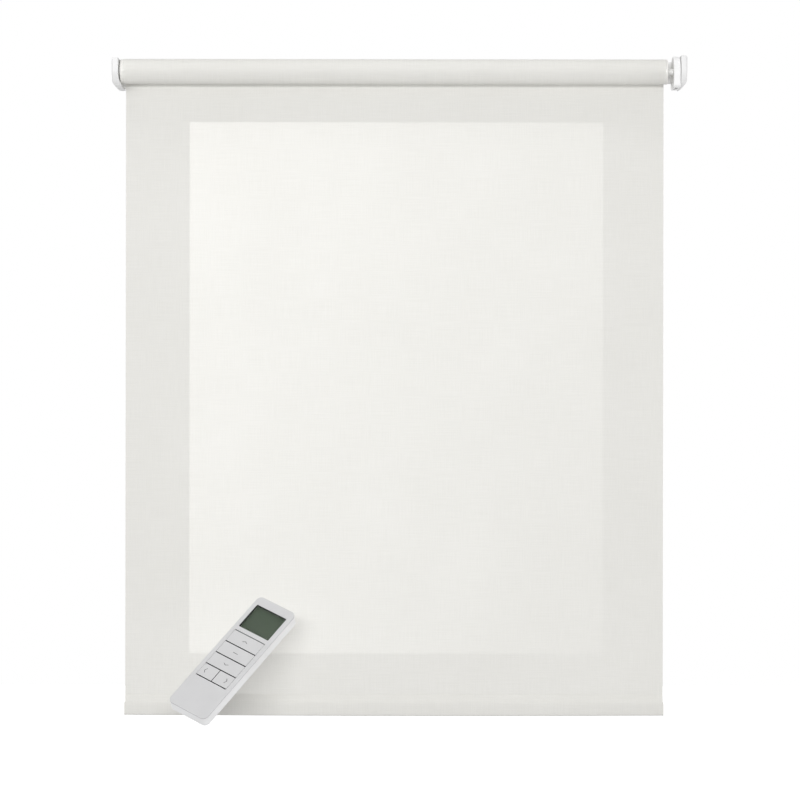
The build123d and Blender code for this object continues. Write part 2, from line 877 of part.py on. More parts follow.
def stage_one():
    """Sealed block of the faster gear stages."""
    body = rod(stage_one_x0, stage_one_x0 + stage_one_len, housing_bore_r - 0.1)
    return body - rod(stage_one_x0 - 1, stage_one_x0 + sun_shaft_in + 1, sun_shaft_r + running_gap)


def can_x0():
    return stage_one_x0 + stage_one_len


def motor_can():
    x0 = can_x0()
    body = rod(x0, x0 + can_len, can_r)
    for side in (-1, 1):
        near = axis_y + side * can_flat
        far = axis_y + side * (can_r + 1)
        body -= block(x0 - 1, x0 + can_len + 1, min(near, far), max(near, far), -can_r, can_r)
    return body + rod(x0 + can_len, x0 + can_len + boss_on_can_t, boss_on_can_r)


def board_x0():
    return can_x0() + can_len + board_gap


def control_board():
    """Motor driver and radio board with its tallest parts."""
    x0 = board_x0()
    body = block(x0, x0 + board_len, axis_y - board_w / 2, axis_y + board_w / 2, -board_t, 0)
    for start, long, wide, tall in chips:
        body += block(x0 + start, x0 + start + long, axis_y - wide / 2, axis_y + wide / 2, 0, tall)
    return body


def cell(index):
    x0 = board_x0() + board_len + cell_gap + index * (cell_len + cell_gap)
    shoulder = x0 + cell_len - cell_button_t
    body = rod(x0, shoulder, cell_r)
    ends = body.edges().filter_by(GeomType.CIRCLE)
    body = fillet(ends, cell_button_t)
    return body + rod(shoulder, x0 + cell_len, cell_button_r)


def drive_wheel():
    """Wheel on the output shaft that turns the tube by its rib."""
    drive_x1 = drive_x0 + drive_len
    body = rod(drive_x0, drive_x1, drive_r)
    body -= key_notch(drive_x0 - 1, drive_x1 + 1)
    for x0, x1 in ((drive_x0 - 1, drive_x0 + wheel_pocket), (drive_x1 - wheel_pocket, drive_x1 + 1)):
        pocket = rod(x0, x1, drive_r - wheel_rim) - rod(x0 - 1, x1 + 1, wheel_hub_r)
        spokes = [wheel_spoke(x0 - 1, x1 + 1, turn) for turn in range(30, 360, 60)]
        body -= pocket - spokes - key_notch_rim(x0 - 1, x1 + 1)
    bore = rod(drive_x0 - 1, drive_x1 + 1, output_shaft_r + plug_fit)
    flat = output_shaft_flat + plug_fit
    bore &= block(drive_x0 - 1, drive_x1 + 1, axis_y - 4, axis_y + 4, -flat, flat)
    return body - bore


def wheel_spoke(x0, x1, turn):
    inner = wheel_hub_r - spoke_sink
    outer = drive_r - wheel_rim + spoke_sink
    spoke = Pos(0, 0, (inner + outer) / 2) * Box(x1 - x0, spoke_t, outer - inner)
    return Pos((x0 + x1) / 2, axis_y, 0) * Rot(turn, 0, 0) * spoke


def key_notch_rim(x0, x1):
    """Keeps a wall of material around the rib's notch."""
    wall = wheel_rim - 0.4
    half = rib_w / 2 + key_gap + wall
    return block(x0, x1, axis_y - half, axis_y + half, rib_inner_r - key_gap - wall, tube_r)


def drive_screw():
    seat = drive_x0 - 0.05
    top = seat - screw_head_drive_t
    head = rod(top, seat, screw_head_drive_r)
    head = fillet(head.edges().filter_by(GeomType.CIRCLE).group_by(Axis.X)[0], 0.8)
    for turn in (0, 90):
        bar = Pos(top, axis_y, 0) * Rot(turn, 0, 0) * Box(2.0, 0.9, screw_head_drive_r)
        head -= bar
    return head + rod(seat, drive_x0 + screw_bore_depth - 0.5, screw_bore_r)


def remote_place():
    return Plane(origin=remote_centre, x_dir=remote_across, z_dir=remote_face).location


def rounded(width, height, corner):
    return fillet(Rectangle(width, height).vertices(), corner)


def slab(face, w0, w1):
    return extrude(Pos(0, 0, w0) * face, amount=w1 - w0)


def box_uvw(u0, u1, v0, v1, w0, w1):
    return Pos((u0 + u1) / 2, (v0 + v1) / 2, (w0 + w1) / 2) * Box(u1 - u0, v1 - v0, w1 - w0)


def parting_w():
    return remote_t / 2 - fascia_t


def key_rows():
    """Centre height and size of each key row, from the top."""
    rows = []
    for k in range(4):
        top = key_first_slot_v - k * key_pitch - key_slot / 2
        low = key_first_slot_v - (k + 1) * key_pitch + key_slot / 2
        rows.append(((top + low) / 2, top - low))
    return rows


def key_boxes():
    """Name, centre u, centre v, width and height of each key."""
    names = ("up", "stop", "down")
    rows = key_rows()
    found = [(name, 0.0, v, key_w, h) for name, (v, h) in zip(names, rows)]
    v, h = rows[3]
    half = (key_w - key_split) / 2
    found.append(("left", -(half + key_split) / 2, v, half, h))
    found.append(("right", (half + key_split) / 2, v, half, h))
    return found


def key_well():
    """The opening in the fascia that takes all the keys."""
    top = key_first_slot_v + key_slot / 2
    low = key_first_slot_v - 4 * key_pitch - key_slot / 2
    return 0.0, (top + low) / 2, key_w + 2 * key_side_gap, top - low


def boss_places():
    return [(u, v) for u in (-boss_u, boss_u) for v in (-boss_v, boss_v)]


def remote_front():
    w1 = remote_t / 2
    w0 = parting_w()
    body = slab(rounded(remote_w, remote_l, remote_corner_r), w0 + parting_gap, w1)
    body = fillet(body.faces().sort_by(Axis.Z)[-1].edges(), face_edge_r)
    inner_w = remote_w - 2 * remote_wall - 2 * lip_gap
    inner_l = remote_l - 2 * remote_wall - 2 * lip_gap
    lip_r = remote_corner_r - remote_wall
    body += slab(rounded(inner_w, inner_l, lip_r), w0 - lip_h, w0 + parting_gap)
    hole = rounded(inner_w - 2 * lip_t, inner_l - 2 * lip_t, lip_r - lip_t)
    body -= slab(hole, w0 - lip_h - 1, w0 + parting_gap)
    seat_w = window_w + 2 * window_seat
    seat_h = window_h + 2 * window_seat
    body -= slab(Pos(0, window_v) * rounded(seat_w, seat_h, 1.5), w0 - 1, w1 - window_sunk - lens_t / 2)
    body -= slab(Pos(0, window_v) * rounded(window_w, window_h, 1.0), w0, w1 + 1)
    u, v, width, height = key_well()
    body -= slab(Pos(u, v) * rounded(width, height, 0.8), w0 - 1, w1 + 1)
    for u, v in boss_places():
        boss = Pos(u, v) * Circle(boss_r)
        body += slab(boss, back_inner_w() + 1.1, w0 + parting_gap + 0.2)
        body -= slab(Pos(u, v) * Circle(screw_r), back_inner_w(), w0 - 0.5)
    return body


def back_inner_w():
    return -remote_t / 2 + door_t


def remote_back():
    w0 = -remote_t / 2
    body = slab(rounded(remote_w, remote_l, remote_corner_r), w0, parting_w())
    body = fillet(body.faces().sort_by(Axis.Z)[0].edges(), back_edge_r)
    inner_w = remote_w - 2 * remote_wall
    inner_l = remote_l - 2 * remote_wall
    hollow = rounded(inner_w, inner_l, remote_corner_r - remote_wall)
    body -= slab(hollow, back_inner_w(), parting_w() + 1)
    half = door_w / 2 + door_gap
    low = -remote_l / 2 - 1
    body -= box_uvw(-half, half, low, door_v1 + door_gap, w0 - 1, back_inner_w() + 0.01)
    rail = half + door_rail
    body -= box_uvw(-rail, rail, low, low + 5, back_inner_w(), back_inner_w() + door_rail_t + 0.1)
    for u, v in boss_places():
        spot = Pos(u, v)
        body += slab(spot * Circle(boss_r + 0.6), back_inner_w() - 0.1, back_inner_w() + 1.0)
        body -= slab(spot * Circle(screw_r + 0.15), w0 - 1, back_inner_w() + 2)
        body -= slab(spot * Circle(screw_head_r + 0.1), w0 - 1, w0 + screw_head_t + 0.2)
    return body


def remote_window():
    """Clear window with a step: its wide lower half is held under the fascia."""
    top = remote_t / 2 - window_sunk
    step = top - lens_t / 2 - 0.02
    wide = 2 * (window_seat - lens_gap)
    foot = rounded(window_w + wide, window_h + wide, 1.4)
    pane = rounded(window_w - 2 * lens_gap, window_h - 2 * lens_gap, 0.9)
    return Pos(0, window_v) * (slab(foot, top - lens_t, step) + slab(pane, step, top))


def remote_bezel():
    """Dark frame between the window and the display."""
    wide = 2 * (window_seat - lens_gap)
    frame = rounded(window_w + wide, window_h + wide, 1.4) - rounded(window_w, window_h, 0.5)
    return slab(Pos(0, window_v) * frame, display_top_w, remote_t / 2 - window_sunk - lens_t - 0.02)


def remote_display():
    width = window_w + 2 * display_margin
    height = window_h + 2 * display_margin
    return slab(Pos(0, window_v) * rounded(width, height, 0.5), board_top_w, display_top_w)


def remote_board():
    face = rounded(remote_w - 2 * remote_wall - 3.2, remote_l - 2 * remote_wall - 8.0, 4.0)
    body = slab(face, board_top_w - remote_board_t, board_top_w)
    for u, v in boss_places():
        body -= slab(Pos(u, v) * Circle(boss_r + 0.3), board_top_w - 2, board_top_w + 1)
    return body


def remote_keypad():
    """Rubber sheet with a dome under each key."""
    u, v, width, height = key_well()
    body = slab(Pos(u, v) * rounded(width - 1, height - 2, 1.0), board_top_w, board_top_w + membrane_t)
    for name, u, v, width, height in key_boxes():
        body += slab(Pos(u, v) * Circle(dome_r), board_top_w + membrane_t, board_top_w + membrane_t + dome_h)
    return body


def mark_strokes(name, u, v):
    """Line work engraved in a key: a pair of slanted strokes, or one bar for stop."""
    reach = mark_reach
    rise = mark_rise
    paths = {
        "up": [(-reach, -rise / 2), (0, rise / 2), (reach, -rise / 2)],
        "stop": [(-reach, 0), (reach, 0)],
        "down": [(-reach, rise / 2), (0, -rise / 2), (reach, rise / 2)],
        "left": [(rise / 2, -reach), (-rise / 2, 0), (rise / 2, reach)],
        "right": [(-rise / 2, -reach), (rise / 2, 0), (-rise / 2, reach)],
    }
    strokes = []
    points = paths[name]
    for (a, b), (c, d) in zip(points, points[1:]):
        angle = math.degrees(math.atan2(d - b, c - a))
        length = math.hypot(c - a, d - b) + mark_line
        centre = Pos(u + (a + c) / 2, v + (b + d) / 2)
        strokes.append(centre * Rot(0, 0, angle) * Rectangle(length, mark_line))
    return strokes


def mark_place(name, u, v):
    """Where the mark sits on its key: the side arrows stand toward the outer ends."""
    shift = {"left": mark_shift_left, "right": mark_shift_right}
    return u + shift.get(name, 0.0), v


def remote_key(name, u, v, width, height):
    top = remote_t / 2 + key_proud
    body = slab(Pos(u, v) * rounded(width, height, key_corner_r), parting_w() - 0.3, top)
    body = fillet(body.faces().sort_by(Axis.Z)[-1].edges(), key_edge_r)
    flange_top = parting_w() - 0.05
    flange = Pos(u, v) * rounded(width - 0.4, height + 2 * key_slot / 2 - 0.5, 0.6)
    body += slab(flange, flange_top - key_flange_t, flange_top)
    low = board_top_w + membrane_t + dome_h + key_travel + 0.1
    body += slab(Pos(u, v) * Circle(key_post_r), low, flange_top)
    mu, mv = mark_place(name, u, v)
    for stroke in mark_strokes(name, mu, mv):
        body -= slab(stroke, top - mark_depth, top + 1)
    return body


def coin_cell():
    top = board_top_w - remote_board_t - strap_t
    body = slab(Pos(0, coin_v) * Circle(coin_r), top - coin_t, top)
    return chamfer(body.edges().group_by(Axis.Z)[0], 0.5)


def coin_contact():
    """Sprung strap between the board and the coin cell."""
    top = board_top_w - remote_board_t
    half = strap_w / 2
    far = coin_v + coin_r + 0.75
    strap = box_uvw(-half, half, coin_v - 9, far, top - strap_t, top)
    return strap + box_uvw(-half, half, far - strap_t, far, top - 4.0, top)


def battery_door():
    w0 = -remote_t / 2
    low = -remote_l / 2 + 0.4
    body = box_uvw(-door_w / 2, door_w / 2, low, door_v1, w0, back_inner_w())
    foot = body.edges().filter_by(Axis.X).group_by(Axis.Z)[0].sort_by(Axis.Y)[0]
    body = fillet(foot, 1.2)
    rail = door_w / 2 + door_rail
    rail_face_w1 = back_inner_w() + door_rail_t
    body += box_uvw(-rail, rail, low, door_v1 - 6, back_inner_w() + 0.03, rail_face_w1)
    body += box_uvw(-door_w / 2 + 2, door_w / 2 - 2, low, door_v1 - 6, back_inner_w() - 0.1, rail_face_w1)
    body += box_uvw(-10, 10, door_v1 - 8, door_v1 + door_tongue, back_inner_w() + 0.03, rail_face_w1)
    for k in range(door_ridges):
        ridge_v = low + 6 + door_ridge_pitch * k
        body -= box_uvw(-7, 7, ridge_v, ridge_v + 0.9, w0 - 1, w0 + 0.4)
    return body


def remote_screws():
    made = []
    w0 = -remote_t / 2 + 0.1
    for u, v in boss_places():
        spot = Pos(u, v)
        head = slab(spot * Circle(screw_head_r), w0, w0 + screw_head_t)
        for turn in (0, 90):
            cross = spot * Rot(0, 0, turn) * Rectangle(screw_cross, screw_cross_w)
            head -= slab(cross, w0 - 1, w0 + 0.6)
        made.append(head + slab(spot * Circle(screw_r), w0 + screw_head_t, parting_w() - 1.0))
    return Compound(children=made)


def save(shape, node):
    export_step(shape, "parts/" + node + ".step")


def save_headrail():
    save(bracket_left(), "bracket_left")
    save(bracket_right(), "bracket_right")
    save(cover_left(), "bracket_cover_left")
    save(cover_right(), "bracket_cover_right")
    save(idler_socket(), "idler_socket")
    save(motor_head(), "motor_head")
    save(head_lid(), "motor_head_lid")
    save(head_clip(), "head_clip")
    save(head_board(), "head_board")
    save(charge_port(), "charge_port")
    save(status_light(), "status_light")
    save(set_button(), "set_button")
    save(torque_tube(), "torque_tube")
    save(motor_end_cap(), "motor_end_cap")
    save(motor_housing(), "motor_housing")


def save_motor():
    save(output_bearing(), "output_bearing")
    save(ring_gear(), "ring_gear")
    save(sun_gear(), "sun_gear")
    for index in range(planet_count):
        save(planet_gear(index), "planet_gear_" + str(index + 1))
    save(carrier(), "planet_carrier")
    save(stage_one(), "first_gear_stages")
    save(motor_can(), "motor_can")
    save(control_board(), "control_board")
    for index in range(cell_count):
        save(cell(index), "battery_cell_" + str(index + 1))
    save(drive_wheel(), "drive_wheel")
    save(drive_screw(), "drive_screw")
    save(motor_crown(), "motor_crown")


def save_roller():
    save(roller_tube(), "roller_tube")
    save(fabric_spline(), "fabric_spline")
    save(fabric_roll(), "fabric_roll")
    save(idler_plug(), "idler_plug")
    save(plug_cap(), "idler_plug_cap")
    save(idler_pin(), "idler_pin")
    save(idler_spring(), "idler_spring")
    save(fabric_panel(), "fabric_panel")
    save(hem_pocket(), "hem_pocket")
    save(hem_bar(), "hem_bar")
    save(hem_cap(-1), "hem_cap_left")
    save(hem_cap(1), "hem_cap_right")


def save_remote():
    place = remote_place()
    pieces = {
        "remote_front": remote_front(),
        "remote_back": remote_back(),
        "remote_window": remote_window(),
        "remote_bezel": remote_bezel(),
        "remote_display": remote_display(),
        "remote_board": remote_board(),
        "remote_keypad": remote_keypad(),
        "remote_coin_cell": coin_cell(),
        "remote_contact": coin_contact(),
        "remote_door": battery_door(),
        "remote_screws": remote_screws(),
    }
    for name, u, v, width, height in key_boxes():
        pieces["remote_key_" + name] = remote_key(name, u, v, width, height)
    for node, shape in pieces.items():
        save(place * shape, node)


os.makedirs("parts", exist_ok=True)
save_headrail()
save_motor()
save_roller()
save_remote()
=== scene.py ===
import json
import math

import bpy
from mathutils import Matrix, Vector, noise

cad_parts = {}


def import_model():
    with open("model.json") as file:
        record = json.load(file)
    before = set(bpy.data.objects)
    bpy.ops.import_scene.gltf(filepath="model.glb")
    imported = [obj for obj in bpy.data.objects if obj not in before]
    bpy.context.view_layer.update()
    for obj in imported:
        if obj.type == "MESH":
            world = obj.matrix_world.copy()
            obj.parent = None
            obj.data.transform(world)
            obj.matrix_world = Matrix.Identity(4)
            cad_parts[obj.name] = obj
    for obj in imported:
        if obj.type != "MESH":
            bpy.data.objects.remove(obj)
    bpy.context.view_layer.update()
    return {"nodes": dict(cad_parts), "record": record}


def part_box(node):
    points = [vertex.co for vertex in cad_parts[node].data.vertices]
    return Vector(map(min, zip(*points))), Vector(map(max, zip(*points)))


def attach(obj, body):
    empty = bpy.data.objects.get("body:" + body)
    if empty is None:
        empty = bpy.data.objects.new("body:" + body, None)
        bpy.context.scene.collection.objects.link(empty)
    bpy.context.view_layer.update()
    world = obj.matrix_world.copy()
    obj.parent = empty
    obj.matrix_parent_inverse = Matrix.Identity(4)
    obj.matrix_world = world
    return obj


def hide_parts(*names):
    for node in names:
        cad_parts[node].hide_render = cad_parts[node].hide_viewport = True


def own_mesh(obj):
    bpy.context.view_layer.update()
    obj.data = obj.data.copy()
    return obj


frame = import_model()
nodes = frame["nodes"]

# Places on the part, in metres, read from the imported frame
roll_low, roll_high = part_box("fabric_roll")
panel_low, panel_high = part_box("fabric_panel")
bar_low, bar_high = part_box("hem_bar")
AXIS_Y = (roll_low.y + roll_high.y) / 2
CLOTH_Y = (panel_low.y + panel_high.y) / 2
CLOTH_T = panel_high.y - panel_low.y
WRAP_R = CLOTH_Y - AXIS_Y
CLOTH_LEFT = panel_low.x
CLOTH_W = panel_high.x - panel_low.x
HEM_TOP = panel_low.z
BAR_Z = (bar_low.z + bar_high.z) / 2

# The handset's middle and its directions out of, across and along its face, as the CAD source has them
REMOTE_CENTRE = Vector((-0.1694, -0.080, -0.6125))
REMOTE_FACE = Vector((-0.082, -0.725, 0.684)).normalized()
remote_side = Vector((0.822, -0.437, -0.365))
REMOTE_ACROSS = (remote_side - REMOTE_FACE * remote_side.dot(REMOTE_FACE)).normalized()
REMOTE_ALONG = REMOTE_FACE.cross(REMOTE_ACROSS)
MARK_AND_SHADE_LEVEL = 0.0070  # the keys' faces lie farther out from the middle than this; their dark-painted marks and their sides, darkened as painted shade in the slots, don't

# The fine patterns of the surfaces, in metres
THREAD_PITCH = 0.00055
THREAD_WOBBLE = 0.00035
DOT_PITCH = 0.00045

# The cloth's shape, in metres
EASY_FROM_END = 0.10  # the panel hangs tight nearer than this to the roll and to the hem
BROAD_RIPPLE = 0.0007
FINE_RIPPLE = 0.00018
WRAP_TURNS = 1.25
POCKET_PLAY = 0.00015
POCKET_CORNER = 0.0022
WELD_HALF_T = 0.0004
WELD_H = 0.0014
HEM_SAG = 0.0008
HEM_EASE_H = 0.016  # the sag grows over this height below the weld
HEM_PUCKER = 0.00012
SPRING_WIRE_R = 0.0004

# The studio
FLOOR_Z = -1.7
FLOOR_TONE = 0.82
FLOOR_LIFT = 0.80
WORLD_STRENGTH = 0.465
WINDOW_CENTRE = Vector((-0.00315, -0.0045, -0.3318))
WINDOW_SIZE = (0.4361, 0.5605)


def linear(r, g, b):
    """A colour given as 0 to 255 sRGB, as the shaders take it."""
    def one(c):
        c = c / 255
        return c / 12.92 if c <= 0.04045 else ((c + 0.055) / 1.055) ** 2.4
    return (one(r), one(g), one(b), 1.0)


def shade(colour, factor):
    return tuple(min(1.0, c * factor) for c in colour[:3]) + (1.0,)


class Nodes:
    """Short ways to add nodes to one node tree."""

    def __init__(self, tree):
        self.tree = tree

    def add(self, kind, **values):
        made = self.tree.nodes.new(kind)
        for key, value in values.items():
            setattr(made, key, value)
        return made

    def link(self, a, b):
        self.tree.links.new(a, b)

    def fill(self, socket, value):
        if isinstance(value, bpy.types.NodeSocket):
            self.link(value, socket)
        else:
            socket.default_value = value

    def math(self, operation, a, b=0.0, c=0.0, clamp=False):
        made = self.add("ShaderNodeMath", operation=operation, use_clamp=clamp)
        for socket, value in zip(made.inputs, (a, b, c)):
            self.fill(socket, value)
        return made.outputs[0]

    def dot(self, vector, direction):
        made = self.add("ShaderNodeVectorMath", operation="DOT_PRODUCT")
        self.fill(made.inputs[0], vector)
        made.inputs[1].default_value = direction
        return made.outputs["Value"]

    def spread(self, value, low, high, a=0.3, b=0.7):
        """Maps the range from a to b, a texture's middle by default, to low and high."""
        made = self.add("ShaderNodeMapRange")
        self.fill(made.inputs["Value"], value)
        made.inputs["From Min"].default_value = a
        made.inputs["From Max"].default_value = b
        made.inputs["To Min"].default_value = low
        made.inputs["To Max"].default_value = high
        return made.outputs[0]

    def mix(self, share, a, b):
        """Mixes two colours, whose sockets are the seventh and eighth of this node."""
        made = self.add("ShaderNodeMix", data_type="RGBA")
        self.fill(made.inputs[0], share)
        self.fill(made.inputs[6], a)
        self.fill(made.inputs[7], b)
        return made.outputs[2]

    def join(self, share, a, b, output):
        """Mixes two shaders into the output's surface."""
        both = self.add("ShaderNodeMixShader")
        self.fill(both.inputs[0], share)
        self.link(a.outputs[0], both.inputs[1])
        self.link(b.outputs[0], both.inputs[2])
        self.link(both.outputs[0], output.inputs["Surface"])


class Shader(Nodes):
    """One procedural material around a Principled shader, placed by object coordinates."""

    def __init__(self, name):
        self.mat = bpy.data.materials.new(name)
        self.mat.use_nodes = True
        super().__init__(self.mat.node_tree)
        self.bsdf = self.tree.nodes["Principled BSDF"]
        self.place = self.add("ShaderNodeTexCoord").outputs["Object"]

    def give(self, name, value):
        """Links a texture to the Principled shader's socket, or sets a plain number on it."""
        self.fill(self.bsdf.inputs[name], value)

    def stretched(self, scale):
        made = self.add("ShaderNodeMapping")
        self.link(self.place, made.inputs["Vector"])
        made.inputs["Scale"].default_value = scale
        return made.outputs[0]

    def noise(self, scale, detail=3.0, rough=0.55, vector=None):
        made = self.add("ShaderNodeTexNoise")
        self.link(vector or self.place, made.inputs["Vector"])
        made.inputs["Scale"].default_value = scale
        made.inputs["Detail"].default_value = detail
        made.inputs["Roughness"].default_value = rough
        return made.outputs["Fac"]

    def bump(self, height, distance, strength, under=None):
        made = self.add("ShaderNodeBump")
        self.link(height, made.inputs["Height"])
        made.inputs["Distance"].default_value = distance
        made.inputs["Strength"].default_value = strength
        if under is not None:
            self.link(under, made.inputs["Normal"])
        return made.outputs[0]


def moulded(name, colour, rough):
    """Moulded plastic: fine spark-eroded grain, faint flow marks and uneven gloss."""
    tone = 0.035
    s = Shader(name)
    flow = s.noise(35, 3)
    grain = s.noise(2600, 2)
    s.give("Base Color", s.mix(s.spread(flow, 0, 1), shade(colour, 1 - tone), shade(colour, 1 + tone * 0.4)))
    s.give("Roughness", s.spread(grain, rough - 0.06, rough + 0.08))
    s.give("Normal", s.bump(grain, 0.00003, 0.5, s.bump(flow, 0.0003, 0.15)))
    s.give("IOR", 1.49)
    return s.mat


def coated(name, colour, rough=0.38):
    """Powder-coated steel, with its orange-peel ripple."""
    s = Shader(name)
    peel = s.noise(900, 2)
    dirt = s.noise(60, 4)
    s.give("Base Color", s.mix(s.spread(dirt, 0, 1), shade(colour, 0.96), colour))
    s.give("Roughness", s.spread(peel, rough - 0.05, rough + 0.1))
    s.give("Normal", s.bump(peel, 0.00008, 0.5))
    return s.mat


def metal(name, colour, rough=0.3, along=(60, 2600, 2600)):
    """Drawn or brushed metal, with lines along one axis."""
    s = Shader(name)
    lines = s.noise(1.0, 3, 0.6, s.stretched(along))
    stain = s.noise(45, 4)
    s.give("Base Color", s.mix(s.spread(lines, 0, 1), shade(colour, 0.86), colour))
    s.give("Metallic", 1.0)
    lined = s.spread(lines, rough - 0.06, rough + 0.1)
    s.give("Roughness", s.math("ADD", lined, s.spread(stain, -0.06, 0.06)))
    s.give("Normal", s.bump(lines, 0.00002, 0.6))
    return s.mat


def circuit(name):
    """Solder mask with faint tracks under it."""
    s = Shader(name)
    tracks = s.noise(320, 1, 0.4, s.stretched((1, 1, 0.3)))
    lines = s.math("GREATER_THAN", s.math("SINE", s.math("MULTIPLY", tracks, 60.0)), 0.2)
    s.give("Base Color", s.mix(lines, linear(20, 84, 48), linear(34, 108, 64)))
    s.give("Roughness", s.spread(s.noise(700), 0.3, 0.45))
    s.give("Normal", s.bump(lines, 0.00003, 0.5))
    return s.mat


def rubber(name, colour):
    """Dull dark rubber with a fine, dry grain."""
    s = Shader(name)
    grain = s.noise(1800, 3)
    s.give("Base Color", s.mix(s.spread(s.noise(80), 0, 1), shade(colour, 0.85), colour))
    s.give("Roughness", s.spread(grain, 0.62, 0.8))
    s.give("Normal", s.bump(grain, 0.00003, 0.5))
    return s.mat


def cell_wrap(name):
    """The battery cells' shrunk-on film, with slight rings round it."""
    s = Shader(name)
    rings = s.noise(8, 2, 0.5, s.stretched((1, 30, 30)))
    s.give("Base Color", s.mix(s.spread(rings, 0, 1), linear(38, 74, 128), linear(52, 92, 150)))
    s.give("Roughness", s.spread(s.noise(500), 0.25, 0.4))
    s.give("Normal", s.bump(rings, 0.0001, 0.2))
    return s.mat


def clear(name, colour, rough=0.04, alpha=1.0):
    """Clear plastic with a faint wipe-marked surface. A low alpha stands for a thin flat sheet."""
    s = Shader(name)
    wipe = s.noise(140, 3, 0.5, s.stretched((1, 1, 3)))
    s.give("Base Color", s.mix(s.spread(wipe, 0, 1), shade(colour, 0.97), colour))
    s.give("Roughness", s.spread(wipe, rough, rough + 0.05))
    s.give("Normal", s.bump(wipe, 0.00002, 0.1))
    s.give("Transmission Weight", 1.0)
    s.give("Alpha", alpha)
    s.give("IOR", 1.45)
    return s.mat


def crystal(name):
    """The handset's blank display: green-grey glass over a faint, fine dot grid."""
    s = Shader(name)
    across = s.math("MULTIPLY", s.dot(s.place, REMOTE_ACROSS), math.tau / DOT_PITCH)
    along = s.math("MULTIPLY", s.dot(s.place, REMOTE_ALONG), math.tau / DOT_PITCH)
    grid = s.math("MAXIMUM", s.math("SINE", across), s.math("SINE", along))
    base = s.mix(s.spread(s.noise(45), 0, 1), linear(56, 69, 53), linear(62, 76, 59))
    s.give("Base Color", s.mix(s.spread(grid, 0.0, 0.14, 0.0, 1.0), base, linear(38, 48, 35)))
    s.give("Roughness", s.spread(s.noise(120), 0.34, 0.42))
    s.give("Specular IOR Level", 0.15)
    return s.mat


def key_plastic(name):
    """The handset's keys: satin plastic, with dark paint in the engraved marks and painted shade on the keys'
    sides down in the slots.
    """
    s = Shader(name)
    grain = s.noise(2400, 2)
    height = s.math("SUBTRACT", s.dot(s.place, REMOTE_FACE), REMOTE_CENTRE.dot(REMOTE_FACE))
    # The mask takes the engraved marks, filled with dark paint, and the keys' sides below their faces,
    # darkened as painted shade in the slots
    marks_and_painted_shade = s.math("LESS_THAN", height, MARK_AND_SHADE_LEVEL)
    plastic = s.mix(s.spread(s.noise(40), 0, 1), linear(200, 200, 201), linear(205, 205, 206))
    s.give("Base Color", s.mix(marks_and_painted_shade, plastic, linear(52, 52, 54)))
    s.give("Roughness", s.spread(grain, 0.4, 0.52))
    s.give("Normal", s.bump(grain, 0.00003, 0.5))
    return s.mat


def weave_height(s):
    """Height of a plain weave's threads, which wander a little from their straight lines."""
    wobble = s.math("MULTIPLY", s.math("SUBTRACT", s.noise(140, 2), 0.5), THREAD_WOBBLE)
    pitch = math.tau / THREAD_PITCH
    x = s.math("MULTIPLY", s.math("ADD", s.dot(s.place, (1, 0, 0)), wobble), pitch)
    z = s.math("MULTIPLY", s.math("ADD", s.dot(s.place, (0, 0.7, 1)), wobble), pitch)
    warp = s.math("ABSOLUTE", s.math("SINE", s.math("MULTIPLY", x, 0.5)))
    weft = s.math("ABSOLUTE", s.math("SINE", s.math("MULTIPLY", z, 0.5)))
    over = s.math("GREATER_THAN", s.math("MULTIPLY", s.math("SINE", x), s.math("SINE", z)), 0.0)
    return s.math("MAXIMUM", warp, s.math("ADD", weft, s.math("MULTIPLY", over, 0.3)))


def slubs(s):
    """Thick and thin threads: long streaks each way, as linen-like polyester has."""
    warp = s.noise(1.0, 2, 0.6, s.stretched((1400, 1, 38)))
    weft = s.noise(1.0, 2, 0.6, s.stretched((30, 1, 1400)))
    return s.math("MULTIPLY", s.math("ADD", warp, weft), 0.5)


def cloth(name, through):
    """The blind's fabric. The share of light that comes through it is less where a solid backs it."""
    light, dark = linear(240, 239, 235), linear(228, 227, 222)
    s = Shader(name)
    streak = slubs(s)
    height = weave_height(s)
    patch = s.noise(9, 3)
    tone = s.math("ADD", s.spread(streak, 0.2, 0.6, 0.38, 0.62), s.spread(patch, 0, 0.2), clamp=True)
    woven = s.math("MULTIPLY_ADD", s.math("SUBTRACT", height, 0.8), 0.45, tone, clamp=True)
    colour = s.mix(woven, dark, light)
    normal = s.bump(height, 0.00006, 0.6, s.bump(streak, 0.0001, 0.3))
    s.give("Base Color", colour)
    s.give("Roughness", s.spread(streak, 0.78, 0.92, 0.4, 0.6))
    s.give("Normal", normal)
    s.give("Sheen Weight", 0.12)
    s.give("Sheen Roughness", 0.5)
    s.give("Specular IOR Level", 0.25)
    glow = s.add("ShaderNodeBsdfTranslucent")
    s.link(colour, glow.inputs["Color"])
    s.link(normal, glow.inputs["Normal"])
    s.join(through, s.bsdf, glow, s.tree.nodes["Material Output"])
    return s.mat


